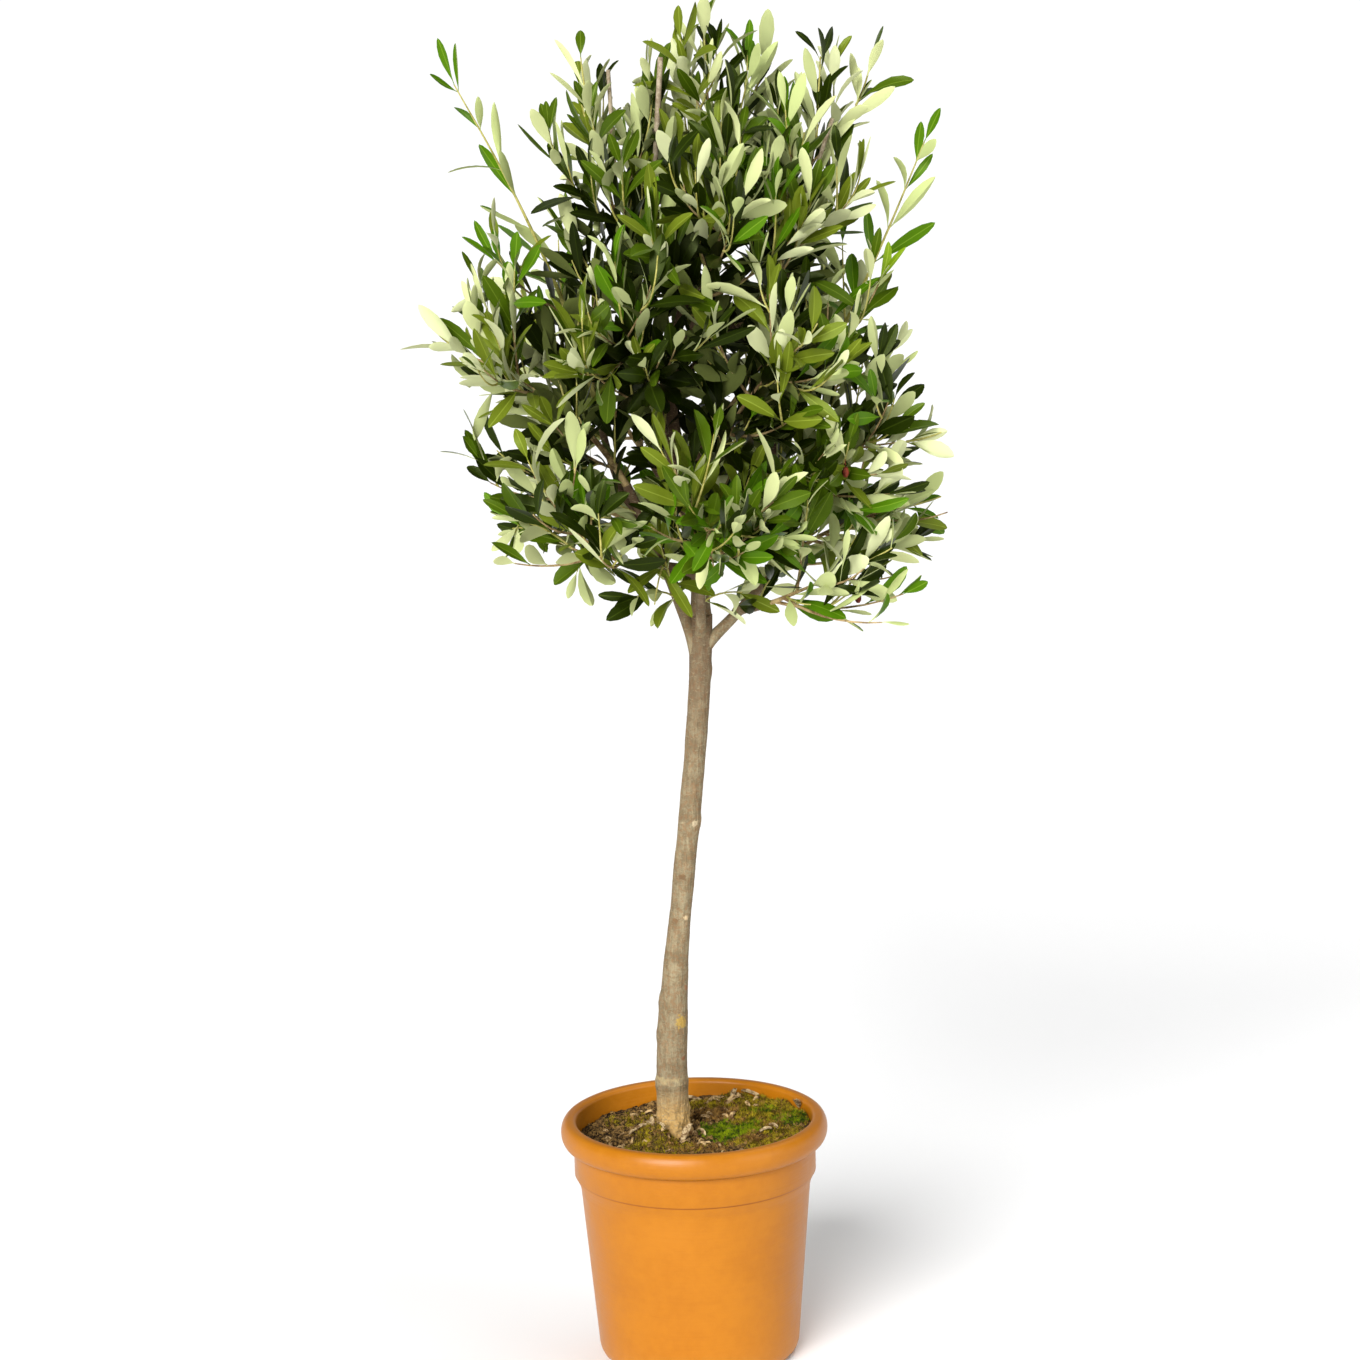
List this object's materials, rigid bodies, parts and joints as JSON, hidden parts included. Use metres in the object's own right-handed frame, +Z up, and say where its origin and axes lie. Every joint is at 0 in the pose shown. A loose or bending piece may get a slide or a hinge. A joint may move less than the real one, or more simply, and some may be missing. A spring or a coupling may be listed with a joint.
{
  "type": "potted olive tree",
  "caption": "Young olive grown as a standard: a round, loose crown of narrow leaves on a bare leaning stem, in a round terracotta-coloured plastic nursery pot with moss on the compost.",
  "frame": {"origin": "middle of the pot's flat underside", "axes": "+Z up, +X to the right and -Y to the front as the plant is seen from its front"},
  "size_m": [0.425, 0.3937, 1.0599],
  "materials": {
    "pot": "satin",
    "compost": "matte",
    "moss": "matte",
    "bark": "matte",
    "foliage": "satin"
  },
  "bodies": {
    "root": {"pot": "pot", "compost": "compost", "moss_right": "moss", "moss_front": "moss", "trunk": "bark", "bough_leader": "bark", "bough_leader_top": "bark", "bough_right_low": "bark", "bough_front_low": "bark", "bough_back_low": "bark", "bough_left": "bark", "bough_left_arch": "bark", "bough_left_low": "bark", "bough_right": "bark", "bough_front_right": "bark", "bough_back_left": "bark", "bough_front_left": "bark", "bough_back_right": "bark", "bough_far_left": "bark", "bough_far_right": "bark", "bough_right_sweep": "bark", "bough_left_high": "bark", "bough_right_high": "bark", "bough_front_high": "bark", "bough_back_high": "bark", "foliage_top": "foliage", "foliage_left_high": "foliage", "foliage_right_high": "foliage", "foliage_front_high": "foliage", "foliage_back_high": "foliage", "foliage_far_left": "foliage", "foliage_far_right": "foliage", "foliage_left": "foliage", "foliage_left_arch": "foliage", "foliage_left_low": "foliage", "foliage_right": "foliage", "foliage_right_low": "foliage", "foliage_right_sweep": "foliage", "foliage_front_right": "foliage", "foliage_front_left": "foliage", "foliage_front_low": "foliage", "foliage_back_right": "foliage", "foliage_back_left": "foliage", "foliage_back_low": "foliage"}
  },
  "joints": []
}
